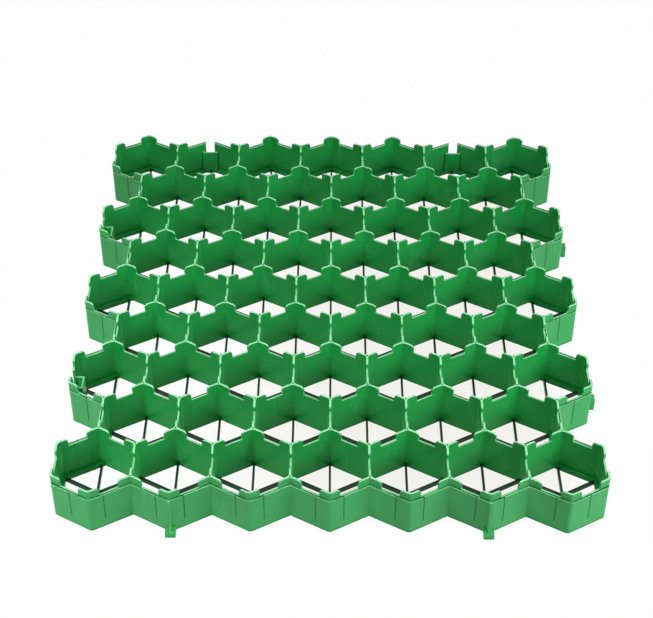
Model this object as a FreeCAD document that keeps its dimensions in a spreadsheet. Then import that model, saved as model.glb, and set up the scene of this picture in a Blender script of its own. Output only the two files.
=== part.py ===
import FreeCAD, Part
import math
import os
import Sketcher

# Grass paver grid: one moulded honeycomb panel of upright hexagonal cells, open at the top and the bottom.
# The frame's origin is the middle of the panel at floor level, +Z points up, and the rows run along X.
# Odd rows hold CELLS_ACROSS cells and even rows one fewer; each cell has a corner to the front and the back.
CELLS_ACROSS = 7
ROWS = 9

# Joining pegs and sockets sit this many cells or rows on either side of the middle.
JOINT_COLUMN = 2
JOINT_ROW = 2

SIZES = (
    ("cell_pitch", 60.0, "distance between the middles of two neighbouring cells"),
    ("grid_height", 39.5, "height of the tabs' tops above the floor"),
    ("wall_thickness", 1.7, "thickness of the walls between cells"),
    ("outer_skin", 1.65, "extra thickness on the outside of the slanting outer walls"),
    ("side_face", 0.35, "distance of the side walls' outer face from their middle plane, below the tabs"),
    ("corner_round", 4.0, "radius of the panel's projecting upright corners"),
    ("notch_width", 14.2, "width of the notch in the middle of a wall's top"),
    ("notch_depth", 7.0, "depth of that notch below the tabs' tops"),
    ("corner_trim", 1.4, "extra width of an outer wall's notch toward a projecting corner"),
    ("tab_bevel", 1.9, "size of the bevel on the tabs' top corners"),
    ("spoke_width", 1.7, "width of the spokes on a cell's floor"),
    ("spoke_height", 3.5, "height of the spokes and the lips above the floor"),
    ("lip_width", 2.7, "width of the lip along the foot of an outer wall, inside"),
    ("groove_setback", 10.8, "distance from a front corner to the groove beside it"),
    ("end_groove_setback", 18.4, "distance from a side wall to the groove in the slanting wall next to it"),
    ("groove_width", 1.0, "width of an outer wall's groove"),
    ("groove_depth", 0.7, "depth of an outer wall's groove"),
    ("groove_length", 24.5, "length of an outer wall's groove below the ledge"),
    ("peg_width", 8.0, "width of a joining peg"),
    ("corner_peg_height", 4.5, "height of the front pegs"),
    ("corner_peg_reach", 6.2, "reach of the front pegs beyond the meeting line of the outer faces"),
    ("side_peg_height", 10.5, "height of the side pegs"),
    ("side_peg_reach", 7.1, "reach of the side pegs beyond the side wall"),
    ("stem_width", 2.2, "width of the rib above a front peg"),
    ("stem_reach", 0.4, "reach of that rib beyond the meeting line of the outer faces"),
    ("stem_flare", 4.5, "reach and height of the rib's slanting foot on the peg"),
    ("socket_wall", 1.7, "wall of a joining socket"),
    ("socket_height", 24.0, "height of a joining socket"),
    ("socket_clearance", 1.7, "room on each side of a peg in its socket"),
    ("slot_clearance", 0.3, "room on each side of a peg in its slot"),
    ("corner_socket_depth", 7.0, "depth of the back sockets from the corner of the wall's middle plane"),
    ("side_socket_depth", 8.3, "depth of the side sockets from the wall's middle plane"),
)

doc = FreeCAD.newDocument("grass_paver_grid")
sheet = doc.addObject("Spreadsheet::Sheet", "sizes")
for row, (alias, value, note) in enumerate(SIZES, start=1):
    sheet.set(f"A{row}", note)
    sheet.set(f"B{row}", str(value))
    sheet.setAlias(f"B{row}", alias)
doc.recompute()

# Sizes that follow from the sheet, as expressions
CORNER_RADIUS = "(sizes.cell_pitch / sqrt(3))"
HALF_WALL = "(sizes.wall_thickness / 2)"
OUTER_FACE = f"({HALF_WALL} + sizes.outer_skin)"
OUTER_CORNER = f"({OUTER_FACE} / cos(30))"
LEDGE = "(sizes.grid_height - sizes.notch_depth)"
INNER_APOTHEM = f"(sizes.cell_pitch / 2 - {HALF_WALL})"
HALF_PEG = "(sizes.peg_width / 2)"
HALF_SLOT = f"({HALF_PEG} + sizes.slot_clearance)"
HALF_ROOM = f"({HALF_PEG} + sizes.socket_clearance)"
HALF_SOCKET = f"({HALF_ROOM} + sizes.socket_wall)"


def body_of(name):
    body = doc.addObject("PartDesign::Body", name)
    body.Label = name
    return body


def sketch_of(body, name, corners, plane="XY_Plane", height=None):
    """A sketch of one closed outline, each corner a pair of sheet expressions."""
    sketch = body.newObject("Sketcher::SketchObject", name)
    support = next(feature for feature in body.Origin.OriginFeatures if feature.Role == plane)
    sketch.AttachmentSupport = [(support, "")]
    sketch.MapMode = "FlatFace"
    if height:
        sketch.setExpression("AttachmentOffset.Base.z", height)
    count = len(corners)
    turns = [2 * math.pi * i / count for i in range(count)]
    start = [FreeCAD.Vector(math.cos(turn), math.sin(turn), 0) for turn in turns]
    for i in range(count):
        sketch.addGeometry(Part.LineSegment(start[i], start[(i + 1) % count]))
    for i in range(count):
        sketch.addConstraint(Sketcher.Constraint("Coincident", i, 2, (i + 1) % count, 1))
    for i, (x, y) in enumerate(corners):
        for kind, now, wanted in (("DistanceX", start[i].x, x), ("DistanceY", start[i].y, y)):
            index = sketch.addConstraint(Sketcher.Constraint(kind, -1, 1, i, 1, now))
            sketch.setExpression(f"Constraints[{index}]", wanted)
    return sketch


def pad(body, name, corners, length, plane="XY_Plane", height=None, midplane=False):
    feature = body.newObject("PartDesign::Pad", name)
    feature.Profile = sketch_of(body, f"{name}_sketch", corners, plane, height)
    feature.setExpression("Length", length)
    feature.Midplane = midplane
    return feature


def box(left, right, near, far):
    return [(left, near), (right, near), (right, far), (left, far)]


def hexagon(apothem):
    radius = f"({apothem}) * 2 / sqrt(3)"
    return [(f"{radius} * cos({30 + 60 * i})", f"{radius} * sin({30 + 60 * i})") for i in range(6)]


# Each body below is one feature of the panel in a frame of its own: a cell's middle, or the middle plane of
# an outer wall with -Y pointing out of the panel.
block_cell = body_of("block_cell")
pad(block_cell, "block_cell_pad", hexagon(f"sizes.cell_pitch / 2 + {OUTER_FACE}"), LEDGE)

tab_cell = body_of("tab_cell")
pad(tab_cell, "tab_cell_pad", hexagon(f"sizes.cell_pitch / 2 + {HALF_WALL}"), "sizes.grid_height")

cell_room = body_of("cell_room")
pad(cell_room, "cell_room_pad", hexagon(INNER_APOTHEM), "sizes.grid_height", height="sizes.spoke_height")

# One of the six openings between a cell's floor spokes
field = body_of("floor_field")
half_edge = f"({INNER_APOTHEM} * tan(30) - sizes.spoke_width / 2 / cos(30))"
field_corners = [("sizes.spoke_width", "0"), (INNER_APOTHEM, f"-{half_edge}"), (INNER_APOTHEM, half_edge)]
pad(field, "floor_field_pad", field_corners, "2 * sizes.spoke_height", height="-sizes.spoke_height / 2")

# A notch as a straight channel along X: a long one that crosses the whole panel, and a short one for one wall
half_notch = "(sizes.notch_width / 2)"
mouth = f"({half_notch} + sizes.tab_bevel)"
right_side = [
    (half_notch, LEDGE),
    (half_notch, "sizes.grid_height - sizes.tab_bevel"),
    (mouth, "sizes.grid_height"),
    (mouth, "sizes.grid_height + sizes.notch_depth"),
]
left_side = [(f"-{x}", y) for x, y in reversed(right_side)]
notch_corners = right_side + left_side
channel = body_of("channel")
crossing = f"{CELLS_ACROSS + ROWS} * sizes.cell_pitch"
pad(channel, "channel_pad", notch_corners, crossing, "YZ_Plane", midplane=True)
wall_notch = body_of("wall_notch")
pad(wall_notch, "wall_notch_pad", notch_corners, f"4 * {OUTER_FACE}", "YZ_Plane", midplane=True)

# The lip along the foot of an outer wall runs between the middle planes of the walls beside it
lip = body_of("lip")
half_foot = f"({CORNER_RADIUS} / 2)"
lip_reach = f"({HALF_WALL} + sizes.lip_width)"
lip_end = f"({half_foot} + {lip_reach} * tan(30))"
lip_corners = [(f"-{half_foot}", "0"), (half_foot, "0"), (lip_end, lip_reach), (f"-{lip_end}", lip_reach)]
pad(lip, "lip_pad", lip_corners, "sizes.spoke_height")

# The groove in an outer wall is a shallow V that runs down from the ledge
groove = body_of("groove")
half_groove = "(sizes.groove_width / 2)"
groove_corners = [
    (f"-{half_groove}", f"-{OUTER_FACE} - sizes.groove_depth"),
    (half_groove, f"-{OUTER_FACE} - sizes.groove_depth"),
    (half_groove, f"-{OUTER_FACE}"),
    ("0", f"-{OUTER_FACE} + sizes.groove_depth"),
    (f"-{half_groove}", f"-{OUTER_FACE}"),
]
pad(groove, "groove_pad", groove_corners, "sizes.groove_length", height=f"{LEDGE} - sizes.groove_length")

# A front peg is a flat tongue at the foot of a corner, under a rib that slants out onto it
corner_peg = body_of("corner_peg")
tongue_end = f"-({OUTER_CORNER} + sizes.corner_peg_reach)"
pad(corner_peg, "tongue_pad", box(f"-{HALF_PEG}", HALF_PEG, tongue_end, "0"), "sizes.corner_peg_height")
stem_face = f"-({OUTER_CORNER} + sizes.stem_reach)"
stem_corners = [
    ("0", "0"),
    ("0", LEDGE),
    (stem_face, LEDGE),
    (stem_face, "sizes.corner_peg_height + sizes.stem_flare"),
    (f"{stem_face} - sizes.stem_flare", "sizes.corner_peg_height"),
    (f"{stem_face} - sizes.stem_flare", "0"),
]
pad(corner_peg, "stem_pad", stem_corners, "sizes.stem_width", "YZ_Plane", midplane=True)

side_peg = body_of("side_peg")
side_peg_corners = box(f"-{HALF_PEG}", HALF_PEG, "-(sizes.side_face + sizes.side_peg_reach)", "0")
pad(side_peg, "side_peg_pad", side_peg_corners, "sizes.side_peg_height")

# The back sockets stand inside a projecting corner, whose walls run away from it at 30 degrees
corner_socket = body_of("corner_socket")
socket_corners = box(f"-{HALF_SOCKET}", HALF_SOCKET, f"{HALF_SOCKET} * tan(30)", "sizes.corner_socket_depth")
pad(corner_socket, "corner_socket_pad", socket_corners, "sizes.socket_height")

corner_room = body_of("corner_room")
face = f"{HALF_WALL} / cos(30)"
room_end = "(sizes.corner_socket_depth - sizes.socket_wall)"
room_corners = [
    ("0", face),
    (HALF_ROOM, f"{HALF_ROOM} * tan(30) + {face}"),
    (HALF_ROOM, room_end),
    (f"-{HALF_ROOM}", room_end),
    (f"-{HALF_ROOM}", f"{HALF_ROOM} * tan(30) + {face}"),
]
pad(corner_room, "corner_room_pad", room_corners, "sizes.grid_height")
slot_corners = box(f"-{HALF_SLOT}", HALF_SLOT, f"-2 * {OUTER_CORNER}", room_end)
pad(corner_room, "corner_slot_pad", slot_corners, "sizes.grid_height")
half_gap = f"({CORNER_RADIUS} / 2 * cos(30))"
gap_corners = box(f"-{half_gap}", half_gap, f"-2 * {OUTER_CORNER}", CORNER_RADIUS)
pad(corner_room, "corner_gap_pad", gap_corners, "2 * sizes.notch_depth", height=LEDGE)

# The side sockets stand behind the middle of a straight outer wall
side_socket = body_of("side_socket")
side_corners = box(f"-{HALF_SOCKET}", HALF_SOCKET, "0", "sizes.side_socket_depth")
pad(side_socket, "side_socket_pad", side_corners, "sizes.socket_height")

side_room = body_of("side_room")
side_end = "(sizes.side_socket_depth - sizes.socket_wall)"
pad(side_room, "side_room_pad", box(f"-{HALF_ROOM}", HALF_ROOM, HALF_WALL, side_end), "sizes.grid_height")
side_slot_corners = box(f"-{HALF_SLOT}", HALF_SLOT, f"-2 * {OUTER_FACE}", side_end)
pad(side_room, "side_slot_pad", side_slot_corners, "sizes.grid_height")

doc.recompute()

# The lattice, from the sheet's own numbers
pitch = sheet.cell_pitch
row_pitch = pitch * math.sqrt(3) / 2
corner_radius = pitch / math.sqrt(3)
UP = FreeCAD.Vector(0, 0, 1)

# Each body's shape alone, without the names of the features that made it, joins and cuts much faster.
units = {}
for item in doc.findObjects("PartDesign::Body"):
    units[item.Label] = Part.Shape()
    units[item.Label].importBrepFromString(item.Shape.exportBrepToString())


def placed(body, spot, angle=0.0):
    """A body's shape, turned about its own origin and set at a spot of the panel."""
    shape = units[body.Label].copy()
    shape.Placement = FreeCAD.Placement(spot, FreeCAD.Rotation(UP, angle))
    return shape


def toward(angle, length):
    return FreeCAD.Vector(math.cos(math.radians(angle)), math.sin(math.radians(angle)), 0) * length


def joined_plan(body):
    """The foot of a cell's prism, repeated over the panel and joined into one face."""
    feet = []
    for spot in middles:
        feet.append(min(placed(body, spot).Faces, key=lambda face: face.CenterOfMass.z))
    return feet[0].fuse(feet[1:]).removeSplitter().Faces[0]


def rounded(plan):
    """A plan with its projecting corners rounded and its hollow corners left sharp."""
    return plan.makeOffset2D(-sheet.corner_round, join=2).makeOffset2D(sheet.corner_round, join=0)


def cells_around(point, reach):
    return [spot for spot in middles if spot.distanceToPoint(point) < reach]


middles = []
for row in range(ROWS):
    across = CELLS_ACROSS - row % 2
    y = (row - (ROWS - 1) / 2) * row_pitch
    for column in range(across):
        x = (column - (across - 1) / 2) * pitch
        middles.append(FreeCAD.Vector(x, y, 0))

# An outer wall has no cell beyond it, and a projecting corner has only one cell. An outer wall that faces
# the front has a groove, set back from its projecting corner; of two such corners it is the one next to a
# side wall.
lips = []
grooves = []
notches = []
for spot in middles:
    for angle in range(0, 360, 60):
        if cells_around(spot + toward(angle, pitch), pitch / 2):
            continue
        middle = spot + toward(angle, pitch / 2)
        lips.append(placed(lip, middle, angle + 90))
        ends = [spot + toward(angle + side, corner_radius) for side in (-30, 30)]
        corners = [end for end in ends if len(cells_around(end, pitch)) == 1]
        for corner in corners:
            trim = (corner - middle).normalize() * sheet.corner_trim
            notches.append(placed(wall_notch, middle + trim, angle))
        if angle > 180:
            corner = max(corners, key=lambda end: abs(end.x))
            beside_side_wall = abs(corner.x) > (CELLS_ACROSS - 0.5) / 2 * pitch
            setback = sheet.end_groove_setback if beside_side_wall else sheet.groove_setback
            grooves.append(placed(groove, corner + (middle - corner).normalize() * setback, angle + 90))

front = FreeCAD.Vector(0, -(ROWS - 1) / 2 * row_pitch - corner_radius, 0)
right = FreeCAD.Vector(CELLS_ACROSS / 2 * pitch, 0, 0)
pegs = []
sockets = []
rooms = []
for way in (-1, 1):
    across = FreeCAD.Vector(way * JOINT_COLUMN * pitch, 0, 0)
    along = FreeCAD.Vector(0, way * JOINT_ROW * row_pitch, 0)
    pegs.append(placed(corner_peg, across + front))
    pegs.append(placed(side_peg, along + right, 90))
    sockets.append(placed(corner_socket, across - front, 180))
    sockets.append(placed(side_socket, along - right, -90))
    rooms.append(placed(corner_room, across - front, 180))
    rooms.append(placed(side_room, along - right, -90))

# Below the tabs the panel is cut off at its side walls' outer faces
half_width = CELLS_ACROSS / 2 * pitch + sheet.side_face
half_depth = ROWS / 2 * pitch
strip = Part.makePlane(2 * half_width, 2 * half_depth, FreeCAD.Vector(-half_width, -half_depth, 0))
block_plan = rounded(joined_plan(block_cell).common(strip).Faces[0])
block = block_plan.extrude(UP * (sheet.grid_height - sheet.notch_depth))
tabs = rounded(joined_plan(tab_cell)).extrude(UP * sheet.grid_height)

panel = block.fuse(tabs).removeSplitter()
panel = panel.cut([placed(cell_room, spot) for spot in middles])
panel = panel.cut([placed(field, spot, 60 * i) for spot in middles for i in range(6)])
panel = panel.fuse(lips + pegs + sockets)
panel = panel.cut(grooves + rooms)

# Notch lines lie a row apart in each of the lattice's three directions
for angle, lines in ((0, ROWS), (60, CELLS_ACROSS + ROWS // 2), (120, CELLS_ACROSS + ROWS // 2)):
    offsets = [(i - (lines - 1) / 2) * row_pitch for i in range(lines)]
    panel = panel.cut([placed(channel, toward(angle + 90, offset), angle) for offset in offsets])
panel = panel.cut(notches).removeSplitter()

paver_grid = doc.addObject("Part::Feature", "paver_grid")
paver_grid.Label = "paver_grid"
paver_grid.Shape = panel.Solids[0]
paver_grid.Placement = FreeCAD.Placement()
doc.recompute()

for item in doc.Objects:
    if "Invalid" in item.State or "Error" in item.State:
        raise RuntimeError(f"{item.Label} failed: {item.State}")
if paver_grid.Shape.isNull() or not paver_grid.Shape.isValid() or len(panel.Solids) != 1:
    raise RuntimeError("the panel isn't one valid solid")

os.makedirs("parts", exist_ok=True)
paver_grid.Shape.exportStep(f"parts/{paver_grid.Label}.step")
print(f"volume {paver_grid.Shape.Volume / 1000:.1f} cm3, {len(paver_grid.Shape.Faces)} faces")
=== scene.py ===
import math
from collections import namedtuple

import bmesh
import bpy
from mathutils import Euler, Matrix, Vector


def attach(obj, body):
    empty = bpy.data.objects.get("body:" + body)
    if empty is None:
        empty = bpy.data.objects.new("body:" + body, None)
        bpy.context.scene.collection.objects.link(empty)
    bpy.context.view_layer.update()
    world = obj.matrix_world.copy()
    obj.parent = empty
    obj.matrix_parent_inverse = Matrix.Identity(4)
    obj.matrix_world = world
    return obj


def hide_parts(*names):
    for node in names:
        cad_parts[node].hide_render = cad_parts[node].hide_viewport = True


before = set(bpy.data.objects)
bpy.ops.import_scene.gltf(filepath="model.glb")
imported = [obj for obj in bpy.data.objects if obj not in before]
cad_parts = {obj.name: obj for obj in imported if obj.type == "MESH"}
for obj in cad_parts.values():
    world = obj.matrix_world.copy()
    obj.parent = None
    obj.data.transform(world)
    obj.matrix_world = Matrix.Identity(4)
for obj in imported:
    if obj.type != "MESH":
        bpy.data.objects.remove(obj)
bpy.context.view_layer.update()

MM = 0.001

# Real sizes of the moulded finish, in metres
EDGE_ROUND = 0.30 * MM
TAB_ROUND = 1.10 * MM
CELL_CORNER_ROUND = 1.90 * MM
CELL_FOOT_ROUND = 0.85 * MM
CELL_FOOT_TOP = 8.0 * MM
SHARP_ANGLE = math.radians(25)
TAB_BEVEL_TURN = math.radians(45)
TAB_BEVEL_SLACK = math.radians(5)
ROUND_SEGMENTS = 3
ROOM_SHARE = 0.3

# How near two points, two heights or two planes are to count as one
WELD = 0.002 * MM
LEVEL_SLACK = 0.05 * MM
EDGE_SLACK = 0.1 * MM
CUT_SLACK = 0.01 * MM
FLAT_ANGLE = math.radians(0.5)

# The upward part of a face's normal: level faces have more than LEVEL, upright faces less than UPRIGHT
LEVEL = 0.9
UPRIGHT = 0.5

# The panel's lattice and heights, in metres
CELLS_ACROSS = 7
ROWS = 9
CELL_PITCH = 60 * MM
ROW_PITCH = CELL_PITCH * math.sqrt(3) / 2
CORNER_RADIUS = CELL_PITCH / math.sqrt(3)
SIDE_WALL = CELLS_ACROSS / 2 * CELL_PITCH
LIP_EDGE = 26.45 * MM
SPOKE_TOP = 3.5 * MM
LEDGE = 32.5 * MM
TAB_TOP = 39.5 * MM
PEG_TOP = 10.5 * MM
GROOVE_HEIGHT = 24.5 * MM
GROOVE_SLACK = 0.2 * MM
GROOVE_FACE_AREA = 1.1 * MM * GROOVE_HEIGHT

# The narrow gap between an outer wall and its skin, from the wall's middle plane, and the pin marks on the
# tabs where three walls meet, in metres
GAP_SIDES = (0.85 * MM, 1.50 * MM)
GAP_DEPTH = 1.5 * MM
GAP_END = 3.0 * MM
LEDGE_REACH = 5 * MM
PIN_RADIUS = 0.65 * MM
PIN_DEPTH = 0.8 * MM
PIN_SIDES = 10
PIN_FACE_AREA = 2 * MM * MM

# How dark the painted shade makes the sheltered faces, and how strongly the painted sheen pales the outside
OUTSIDE_SHEEN = 0.30
SPOKE_SHADE = 0.94
SPOKE_SIDE_SHADE = 0.78
LIP_SHADE = 0.30
GAP_SHADE = 0.80
PIN_SHADE = 0.95
GROOVE_SHADE = 0.35

# The plastic's colours, as linear red, green and blue
DEEP_GREEN = (0.009, 0.325, 0.056)
LIGHT_GREEN = (0.017, 0.460, 0.090)
SCUFF_GREEN = (0.11, 0.56, 0.21)
SHEEN_GREEN = (0.17, 0.54, 0.26)
# The painted highlight's colour, for the upward-facing tops
HIGHLIGHT_GREEN = (0.33, 0.86, 0.45)
FOOT_SHADE_GREEN = (0.010, 0.110, 0.030)
PAINTED_SHADE_GREEN = (0.003, 0.034, 0.010)

# Where the plastic's colours lie: noise values, upward parts of the normal, and heights in metres
PATCHES = (0.30, 0.72)
SCUFFS = (0.54, 0.78)
SCUFF_SHARE = 0.45
RIM_FACING = (0.30, 0.90)
RIM_START = (15 * MM, 16 * MM)
RIM_HEIGHTS = (LEDGE + 1 * MM, TAB_TOP - 0.5 * MM)
RIM_SHARES = (0.65, 1.0)
BOTTOM_HEIGHTS = (1.5 * MM, 0.7 * MM)
BOTTOM_SHARE = 0.75
ROUGHNESS = (0.34, 0.48)

# The floor, in metres, and how much of its white is its own: less under the panel, where the cells shade it
FLOOR_SIZE = 30
SHADE_LEFT = (-160 * MM, 60 * MM)
SHADE_RIGHT = (215 * MM, 155 * MM)
SHADE_ENDS = (250 * MM, 190 * MM)
OPEN_GLOW = 0.98
CELL_GLOW = 0.86
WHITE = (1.0, 1.0, 1.0)
CELL_CREAM = (1.0, 0.99, 0.94)
FLOOR_PAINT = (0.50, 0.50, 0.49)

# The studio's lamps: name, place and aim in metres, width in metres, watts, and spread in degrees
LAMPS = (
    ("lamp_right", (0.75, -0.55, 0.42), (0.15, -0.10, 0), 0.5, 2.2, 110),
    ("lamp_left", (-0.65, -0.52, 0.40), (-0.30, -0.20, 0), 0.5, 0.63, 50),
    ("lamp_top", (0.0, 0.2, 2.0), (0, 0, 0), 1.6, 23, 180),
)
SKY_STRENGTH = 0.12

# The photograph's camera, fitted to the lattice of cells that it shows: place and reach in metres
IMAGE_WIDTH_PX = 653
FOCAL_PX = 1535.6
SENSOR_WIDTH_MM = 36.0
CAMERA_SPOT = Vector((-0.6, -1037.5, 866.3)) * MM
CAMERA_PITCH = math.radians(39.28)
CAMERA_YAW = math.radians(0.171)
CAMERA_ROLL = math.radians(0.213)
CAMERA_REACH = 60

# An outer wall: its cell's middle, its two ends, anticlockwise, and the way out of the panel
Wall = namedtuple("Wall", "cell start end out")

scene = bpy.context.scene


def add_node(tree, kind, place, **values):
    """A node at a place in the tree, with its sockets or properties set by name."""
    node = tree.nodes.new(kind)
    node.location = (place[0] * 200, place[1] * -200)
    for name, value in values.items():
        socket = node.inputs.get(name.replace("_", " "))
        if socket is not None:
            socket.default_value = value
        else:
            setattr(node, name, value)
    return node


def add_math(tree, operation, place, first, second):
    """A Math node of two values, each a socket or a number."""
    node = add_node(tree, "ShaderNodeMath", place, operation=operation)
    for socket, value in zip(node.inputs, (first, second)):
        if isinstance(value, (int, float)):
            socket.default_value = value
        else:
            tree.links.new(value, socket)
    return node.outputs["Value"]


def add_range(tree, place, value, start, end, low=0.0, high=1.0):
    """A value mapped smoothly and held between two ends."""
    node = add_node(tree, "ShaderNodeMapRange", place, interpolation_type="SMOOTHSTEP")
    for name, number in (("From Min", start), ("From Max", end), ("To Min", low), ("To Max", high)):
        node.inputs[name].default_value = number
    tree.links.new(value, node.inputs["Value"])
    return node.outputs["Result"]


def add_tint(tree, place, colour, tint, share):
    """A colour, a socket or three numbers, mixed with a plain tint by a mask."""
    node = add_node(tree, "ShaderNodeMix", place, data_type="RGBA")
    factor, first, second = (node.inputs[i] for i in (0, 6, 7))
    tree.links.new(share, factor)
    if isinstance(colour, tuple):
        first.default_value = (*colour, 1)
    else:
        tree.links.new(colour, first)
    second.default_value = (*tint, 1)
    return node.outputs[2]


def add_mask(tree, place, *shares):
    """The product of several masks."""
    mask = shares[0]
    for step, share in enumerate(shares[1:]):
        mask = add_math(tree, "MULTIPLY", (place[0], place[1] + 0.3 * step), mask, share)
    return mask


def green_plastic():
    """Satin moulded polyethylene: uneven green with pale scuffs, a painted highlight on the upward-facing
    tops, a painted sheen on the outside, and painted shade at the foot and where it is sheltered.
    """
    material = bpy.data.materials.new("green_plastic")
    material.use_nodes = True
    tree = material.node_tree
    tree.nodes.clear()
    link = tree.links.new
    out = add_node(tree, "ShaderNodeOutputMaterial", (10, 0))
    shader = add_node(tree, "ShaderNodeBsdfPrincipled", (9, 0), IOR=1.5, Specular_IOR_Level=0.22)
    link(shader.outputs["BSDF"], out.inputs["Surface"])

    spot = add_node(tree, "ShaderNodeTexCoord", (0, 0)).outputs["Object"]
    place = add_node(tree, "ShaderNodeSeparateXYZ", (1, 1))
    link(spot, place.inputs["Vector"])
    height = place.outputs["Z"]
    surface = add_node(tree, "ShaderNodeNewGeometry", (0, 2))
    facing = add_node(tree, "ShaderNodeSeparateXYZ", (1, 2))
    link(surface.outputs["Normal"], facing.inputs["Vector"])

    patches = add_node(tree, "ShaderNodeTexNoise", (1, 0), Scale=16.0, Detail=4.0, Roughness=0.6)
    link(spot, patches.inputs["Vector"])
    greens = add_node(tree, "ShaderNodeValToRGB", (2, 0))
    greens.color_ramp.elements[0].position = PATCHES[0]
    greens.color_ramp.elements[0].color = (*DEEP_GREEN, 1)
    greens.color_ramp.elements[1].position = PATCHES[1]
    greens.color_ramp.elements[1].color = (*LIGHT_GREEN, 1)
    link(patches.outputs["Fac"], greens.inputs["Fac"])

    streaks = add_node(tree, "ShaderNodeMapping", (1, 3))
    streaks.inputs["Scale"].default_value = (1.0, 1.0, 0.25)
    link(spot, streaks.inputs["Vector"])
    scuffs = add_node(tree, "ShaderNodeTexNoise", (2, 3), Scale=70.0, Detail=5.0, Roughness=0.65)
    link(streaks.outputs["Vector"], scuffs.inputs["Vector"])
    scuffed = add_range(tree, (3, 3), scuffs.outputs["Fac"], *SCUFFS, 0.0, SCUFF_SHARE)
    colour = add_tint(tree, (4, 0), greens.outputs["Color"], SCUFF_GREEN, scuffed)

    # Painted sheen: the outside faces and the pegs are paled, standing in for the white surroundings
    # reflected off them
    outside = add_node(tree, "ShaderNodeAttribute", (4, 3), attribute_name="painted_sheen")
    colour = add_tint(tree, (4.5, 0), colour, SHEEN_GREEN, outside.outputs["Fac"])

    # Painted highlight: upward-facing faces above 15 mm are lightened toward mint, most on the tab tops
    upward = add_range(tree, (2, 2), facing.outputs["Z"], *RIM_FACING)
    raised = add_range(tree, (2, 1), height, *RIM_HEIGHTS, *RIM_SHARES)
    painted_highlight = add_mask(tree, (4, 1), upward, raised, add_range(tree, (3, 1), height, *RIM_START))
    colour = add_tint(tree, (5, 0), colour, HIGHLIGHT_GREEN, painted_highlight)

    # Painted shade: everything below 1.5 mm is darkened, most below 0.7 mm, standing in for the contact
    # shadow along the foot
    painted_foot_shade = add_range(tree, (5, 2), height, *BOTTOM_HEIGHTS, 0.0, BOTTOM_SHARE)
    colour = add_tint(tree, (6, 0), colour, FOOT_SHADE_GREEN, painted_foot_shade)

    # Painted shade: spokes, lips, gaps, pin marks and grooves are darkened where little light reaches them
    painted_shade = add_node(tree, "ShaderNodeAttribute", (6, 2), attribute_name="painted_shade")
    colour = add_tint(tree, (7, 0), colour, PAINTED_SHADE_GREEN, painted_shade.outputs["Fac"])
    link(colour, shader.inputs["Base Color"])

    gloss = add_range(tree, (7, 2), patches.outputs["Fac"], 0.3, 0.7, *ROUGHNESS)
    link(gloss, shader.inputs["Roughness"])

    grain = add_node(tree, "ShaderNodeTexNoise", (6, 4), Scale=900.0, Detail=2.0)
    link(spot, grain.inputs["Vector"])
    fine = add_node(tree, "ShaderNodeBump", (7, 4), Strength=0.06, Distance=0.4 * MM)
    link(grain.outputs["Fac"], fine.inputs["Height"])
    waves = add_node(tree, "ShaderNodeTexNoise", (6, 5), Scale=45.0, Detail=1.0)
    link(spot, waves.inputs["Vector"])
    broad = add_node(tree, "ShaderNodeBump", (8, 4), Strength=0.35, Distance=0.6 * MM)
    link(waves.outputs["Fac"], broad.inputs["Height"])
    link(fine.outputs["Normal"], broad.inputs["Normal"])
    link(broad.outputs["Normal"], shader.inputs["Normal"])
    return material


def toward(degrees, length):
    """A way and length across the panel."""
    return Vector((math.cos(math.radians(degrees)), math.sin(math.radians(degrees)))) * length


def cell_middles():
    """The middles of all cells, row by row from the front."""
    middles = []
    for row in range(ROWS):
        across = CELLS_ACROSS - row % 2
        y = (row - (ROWS - 1) / 2) * ROW_PITCH
        for column in range(across):
            middles.append(Vector(((column - (across - 1) / 2) * CELL_PITCH, y)))
    return middles


def cells_near(point, reach):
    """The middles that lie nearer to a point than a reach."""
    return [middle for middle in MIDDLES if (middle - point).length < reach]


def outer_walls():
    """The walls that have no cell on their other side."""
    walls = []
    for middle in MIDDLES:
        for angle in range(0, 360, 60):
            if not cells_near(middle + toward(angle, CELL_PITCH), CELL_PITCH / 2):
                ends = [middle + toward(angle + side, CORNER_RADIUS) for side in (-30, 30)]
                walls.append(Wall(middle, *ends, toward(angle, 1)))
    return walls


def ledge_runs():
    """The outer walls that have a ledge, in unbroken runs between the panel's side walls."""
    walls = [wall for wall in WALLS if abs(wall.start.x + wall.end.x) / 2 < SIDE_WALL - MM]
    runs = []
    for wall in walls:
        if any((other.end - wall.start).length < MM for other in walls):
            continue
        run = [wall]
        while following := [other for other in walls if (other.start - run[-1].end).length < MM]:
            run.append(following[0])
        runs.append(run)
    return runs


def run_line(run, distance):
    """The line that keeps a distance outside a run of walls, set back from the run's two ends."""
    first, last = run[0], run[-1]
    points = [first.start + (first.end - first.start).normalized() * GAP_END + first.out * distance]
    for wall, following in zip(run, run[1:]):
        out = (wall.out + following.out) / (1 + wall.out.dot(following.out))
        points.append(wall.end + out * distance)
    points.append(last.end + (last.start - last.end).normalized() * GAP_END + last.out * distance)
    return points


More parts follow.
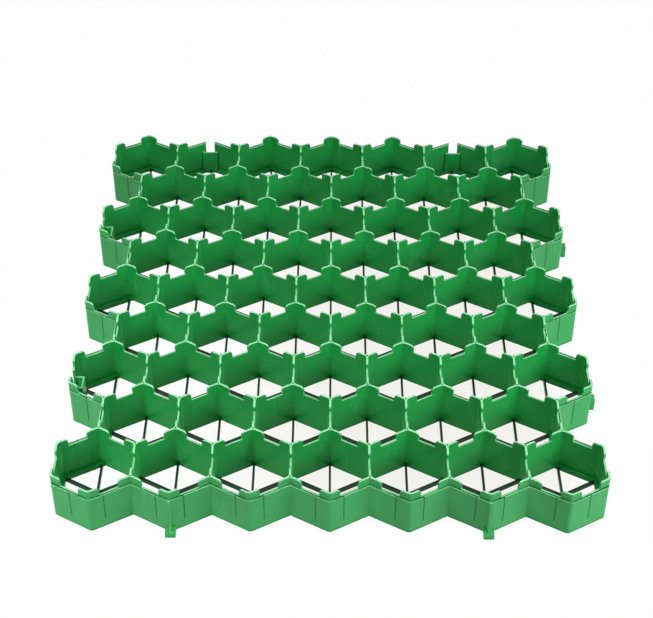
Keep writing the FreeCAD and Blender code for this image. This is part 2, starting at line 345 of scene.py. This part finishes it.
def relief_cutter():
    """The gaps behind the outer walls' skin and the pin marks, as one mesh to cut from the panel."""
    shape = bmesh.new()
    for run in ledge_runs():
        rings = []
        for inner, outer in zip(*(run_line(run, distance) for distance in GAP_SIDES)):
            plan = [(inner, -GAP_DEPTH), (outer, -GAP_DEPTH), (outer, MM), (inner, MM)]
            rings.append([shape.verts.new((*point, LEDGE + rise)) for point, rise in plan])
        for ring, following in zip(rings, rings[1:]):
            for i in range(4):
                shape.faces.new((ring[i], ring[i - 1], following[i - 1], following[i]))
        shape.faces.new(rings[0])
        shape.faces.new(reversed(rings[-1]))
    meetings = {}
    for middle in MIDDLES:
        for angle in range(30, 390, 60):
            corner = middle + toward(angle, CORNER_RADIUS)
            if len(cells_near(corner, CELL_PITCH)) > 1:
                meetings[round(corner.x / MM), round(corner.y / MM)] = corner
    for corner in meetings.values():
        bmesh.ops.create_cone(
            shape, cap_ends=True, segments=PIN_SIDES, radius1=PIN_RADIUS, radius2=PIN_RADIUS,
            depth=2 * PIN_DEPTH, matrix=Matrix.Translation((*corner, TAB_TOP)),
        )
    bmesh.ops.recalc_face_normals(shape, faces=shape.faces)
    mesh = bpy.data.meshes.new("relief")
    shape.to_mesh(mesh)
    shape.free()
    cutter = bpy.data.objects.new("relief", mesh)
    scene.collection.objects.link(cutter)
    return cutter


def past_outer_wall(face, distance):
    """Whether a face lies past a distance from its cell's middle toward one of the cell's outer walls."""
    spot = face.calc_center_median().xy
    middle = min(MIDDLES, key=lambda cell: (cell - spot).length)
    return any((spot - middle).dot(wall.out) > distance for wall in WALLS if wall.cell == middle)


def face_painted_shade(face):
    """How much painted shade a face gets: spokes, lips, gaps, pin marks and grooves lie out of the light, so
    they are painted dark.
    """
    heights = [vert.co.z for vert in face.verts]
    low, high = min(heights), max(heights)
    area = face.calc_area()
    slack = LEVEL_SLACK
    if high < SPOKE_TOP + slack and face.normal.z > -UPRIGHT:
        if past_outer_wall(face, LIP_EDGE - slack):
            return LIP_SHADE
        return SPOKE_SHADE if face.normal.z > UPRIGHT else SPOKE_SIDE_SHADE
    if LEDGE - GAP_DEPTH - slack < low < LEDGE - slack and high < LEDGE + slack:
        return GAP_SHADE
    if TAB_TOP - PIN_DEPTH - slack < low < TAB_TOP - slack and area < PIN_FACE_AREA:
        return PIN_SHADE
    if abs(high - low - GROOVE_HEIGHT) < GROOVE_SLACK and area < GROOVE_FACE_AREA:
        return GROOVE_SHADE
    return 0.0


def face_painted_sheen(face):
    """How much painted sheen a face gets: the pegs and the upright faces on the outside of the panel are
    painted paler, standing in for the white room reflected off them.
    """
    on_peg = max(vert.co.z for vert in face.verts) < PEG_TOP + EDGE_SLACK
    shows = on_peg or abs(face.normal.z) < UPRIGHT
    return OUTSIDE_SHEEN if shows and past_outer_wall(face, CELL_PITCH / 2) else 0.0


def edge_room(edge):
    """The length of the shortest edge that leaves either end of an edge."""
    return min(other.calc_length() for vert in edge.verts for other in vert.link_edges if other != edge)


def is_cell_corner(edge):
    """Whether an edge is the upright hollow corner between two of a cell's walls."""
    low, high = sorted(vert.co.z for vert in edge.verts)
    if len(edge.link_faces) != 2 or high <= LEDGE or low >= CELL_FOOT_TOP + EDGE_SLACK:
        return False
    return edge.calc_face_angle_signed() < -SHARP_ANGLE


def edge_round(edge):
    """How far from an edge its rounding starts, or nothing where the two faces run on smoothly."""
    if len(edge.link_faces) != 2:
        return 0.0
    turn = edge.calc_face_angle_signed()
    if abs(turn) < SHARP_ANGLE:
        return 0.0
    if is_cell_corner(edge):
        return CELL_CORNER_ROUND
    low, high = sorted(vert.co.z for vert in edge.verts)
    if turn < 0 and abs(high - CELL_FOOT_TOP) < EDGE_SLACK:
        return CELL_FOOT_ROUND
    if turn < 0 or high < SPOKE_TOP + EDGE_SLACK:
        return 0.0
    if low > LEDGE and abs(abs(turn) - TAB_BEVEL_TURN) < TAB_BEVEL_SLACK:
        return TAB_ROUND
    return min(EDGE_ROUND, ROOM_SHARE * edge_room(edge))


def split_cell_corners(shape):
    """Divide each cell's upright corners, so that their rounding can narrow down to the spokes' ends."""
    for edge in [edge for edge in shape.edges if is_cell_corner(edge)]:
        foot, top = sorted(edge.verts, key=lambda vert: vert.co.z)
        share = (CELL_FOOT_TOP - foot.co.z) / (top.co.z - foot.co.z)
        bmesh.utils.edge_split(edge, foot, share)


def split_level(shape, heights, spot, reach, way):
    """Divide level faces near a spot, at some heights, by the upright plane there that is square to a way."""
    parts = set()
    for face in shape.faces:
        level = face.verts[0].co.z
        near = any((vert.co.xy - spot).length < reach for vert in face.verts)
        at_height = any(abs(level - height) < LEVEL_SLACK for height in heights)
        if near and at_height and abs(face.normal.z) > LEVEL:
            parts.add(face)
            parts.update(face.edges)
            parts.update(face.verts)
    bmesh.ops.bisect_plane(
        shape, geom=list(parts), dist=CUT_SLACK, plane_co=(*spot, 0), plane_no=(*way, 0),
    )


def split_lips(shape):
    """Divide the lips' tops from the spokes that end on them."""
    for wall in WALLS:
        split_level(shape, [SPOKE_TOP], wall.cell + wall.out * LIP_EDGE, CORNER_RADIUS / 2, wall.out)


def split_ledges(shape):
    """Divide the ledges and the gaps in them at the corners of the outer walls."""
    for run in ledge_runs():
        for wall, following in zip(run, run[1:]):
            out = wall.out + following.out
            heights = [LEDGE, LEDGE - GAP_DEPTH]
            split_level(shape, heights, wall.end, LEDGE_REACH, Vector((-out.y, out.x)))


def split_underside(shape):
    """Divide the underside, which is one lattice, into short strips."""
    for row in range(ROWS):
        y = (row - (ROWS - 1) / 2) * ROW_PITCH
        split_level(shape, [0.0], Vector((0, y)), math.inf, Vector((0, 1)))
    for column in range(2 * CELLS_ACROSS):
        x = (column + 0.5) * CELL_PITCH / 2 - SIDE_WALL
        split_level(shape, [0.0], Vector((x, 0)), math.inf, Vector((1, 0)))


def with_relief(piece):
    """The piece's mesh, welded and with the fine relief cut into it."""
    shape = bmesh.new()
    shape.from_mesh(piece.data)
    bmesh.ops.remove_doubles(shape, verts=shape.verts, dist=WELD)
    shape.to_mesh(piece.data)
    shape.free()
    cutter = relief_cutter()
    cut = piece.modifiers.new("relief", "BOOLEAN")
    cut.operation = "DIFFERENCE"
    cut.solver = "EXACT"
    cut.object = cutter
    evaluated = piece.evaluated_get(bpy.context.evaluated_depsgraph_get())
    mesh = bpy.data.meshes.new_from_object(evaluated)
    piece.modifiers.clear()
    bpy.data.objects.remove(cutter)
    return mesh


def moulded_copy(node, name):
    """A copy of a CAD node's mesh, with its relief cut and its edges rounded as a mould leaves them."""
    piece = bpy.data.objects.new(name, node.data.copy())
    scene.collection.objects.link(piece)
    mesh = with_relief(piece)
    mesh.name = name
    piece.data = mesh
    shape = bmesh.new()
    shape.from_mesh(mesh)
    bmesh.ops.remove_doubles(shape, verts=shape.verts, dist=WELD)
    bmesh.ops.dissolve_limit(shape, angle_limit=FLAT_ANGLE, verts=shape.verts, edges=shape.edges)
    split_cell_corners(shape)
    split_lips(shape)
    split_ledges(shape)
    split_underside(shape)
    widest = max(EDGE_ROUND, TAB_ROUND, CELL_CORNER_ROUND)
    weight = shape.edges.layers.float.new("bevel_weight_edge")
    for edge in shape.edges:
        width = edge_round(edge)
        edge[weight] = width / widest
        edge.smooth = width > 0 or edge.calc_face_angle(0.0) < SHARP_ANGLE
    painted_shade = shape.faces.layers.float.new("painted_shade")
    painted_sheen = shape.faces.layers.float.new("painted_sheen")
    for face in shape.faces:
        face[painted_shade] = face_painted_shade(face)
        face[painted_sheen] = face_painted_sheen(face)
        face.smooth = True
    shape.to_mesh(mesh)
    shape.free()
    bevel = piece.modifiers.new("mould_radius", "BEVEL")
    bevel.width = widest
    bevel.segments = ROUND_SEGMENTS
    bevel.limit_method = "WEIGHT"
    bevel.use_clamp_overlap = False
    shading = piece.modifiers.new("even_shading", "WEIGHTED_NORMAL")
    shading.weight = 100
    shading.keep_sharp = True
    return piece


def pale_floor():
    """A pale floor that stays white to the camera and keeps the shadows on it."""
    bpy.ops.mesh.primitive_plane_add(size=FLOOR_SIZE, location=(0, 0, 0))
    floor = bpy.context.object
    floor.name = "floor"
    material = bpy.data.materials.new("pale_floor")
    material.use_nodes = True
    tree = material.node_tree
    tree.nodes.clear()
    link = tree.links.new
    out = add_node(tree, "ShaderNodeOutputMaterial", (5, 0))
    paint = add_node(tree, "ShaderNodeBsdfDiffuse", (3, 0), Color=(*FLOOR_PAINT, 1))
    glow = add_node(tree, "ShaderNodeEmission", (3, 1), Strength=1.0)
    rays = add_node(tree, "ShaderNodeLightPath", (0, 2)).outputs
    seen = add_math(tree, "ADD", (1, 2), rays["Is Camera Ray"], rays["Is Glossy Ray"])
    seen = add_math(tree, "ADD", (2, 2), seen, rays["Is Transmission Ray"])
    mix = add_node(tree, "ShaderNodeMixShader", (4, 0))
    spot = add_node(tree, "ShaderNodeTexCoord", (0, 3)).outputs["Object"]
    place = add_node(tree, "ShaderNodeSeparateXYZ", (1, 3))
    link(spot, place.inputs["Vector"])
    across = place.outputs["X"]
    along = add_math(tree, "ABSOLUTE", (2, 5), place.outputs["Y"], 0.0)
    left = add_range(tree, (3, 3), across, *SHADE_LEFT)
    right = add_range(tree, (3, 4), across, *SHADE_RIGHT)
    under = add_mask(tree, (4, 3), left, right, add_range(tree, (3, 5), along, *SHADE_ENDS))
    glowing = add_range(tree, (5, 3), under, 0.0, 1.0, OPEN_GLOW, CELL_GLOW)
    link(add_math(tree, "MULTIPLY", (3, 2), seen, glowing), mix.inputs["Fac"])
    link(add_tint(tree, (5, 2), WHITE, CELL_CREAM, under), glow.inputs["Color"])
    link(paint.outputs["BSDF"], mix.inputs[1])
    link(glow.outputs["Emission"], mix.inputs[2])
    link(mix.outputs["Shader"], out.inputs["Surface"])
    floor.data.materials.append(material)


def soft_lamp(name, spot, target, width, power, spread):
    """A square area lamp, turned toward a target."""
    data = bpy.data.lights.new(name, "AREA")
    data.shape = "RECTANGLE"
    data.size = data.size_y = width
    data.energy = power
    data.spread = math.radians(spread)
    lamp = bpy.data.objects.new(name, data)
    lamp.location = spot
    lamp.rotation_euler = (Vector(target) - Vector(spot)).to_track_quat("-Z", "Y").to_euler()
    scene.collection.objects.link(lamp)


def studio():
    """A faint even sky and three soft lamps."""
    world = bpy.data.worlds.new("studio")
    world.use_nodes = True
    background = world.node_tree.nodes["Background"]
    background.inputs["Color"].default_value = (*WHITE, 1)
    background.inputs["Strength"].default_value = SKY_STRENGTH
    scene.world = world
    for lamp in LAMPS:
        soft_lamp(*lamp)


def photo_camera():
    """The camera that took the photograph."""
    data = bpy.data.cameras.new("camera")
    data.sensor_width = SENSOR_WIDTH_MM
    data.lens = FOCAL_PX / IMAGE_WIDTH_PX * SENSOR_WIDTH_MM
    data.clip_end = CAMERA_REACH
    camera = bpy.data.objects.new("camera", data)
    aim = Euler((math.pi / 2 - CAMERA_PITCH, 0, CAMERA_YAW)).to_matrix()
    turn = aim @ Matrix.Rotation(CAMERA_ROLL, 3, "Z")
    camera.matrix_world = Matrix.Translation(CAMERA_SPOT) @ turn.to_4x4()
    scene.collection.objects.link(camera)
    scene.camera = camera


MIDDLES = cell_middles()
WALLS = outer_walls()

panel = moulded_copy(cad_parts["paver_grid"], "moulded_panel")
panel.data.materials.clear()
panel.data.materials.append(green_plastic())
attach(panel, "root")
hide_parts("paver_grid")

pale_floor()
studio()
photo_camera()
scene.view_settings.view_transform = "Standard"
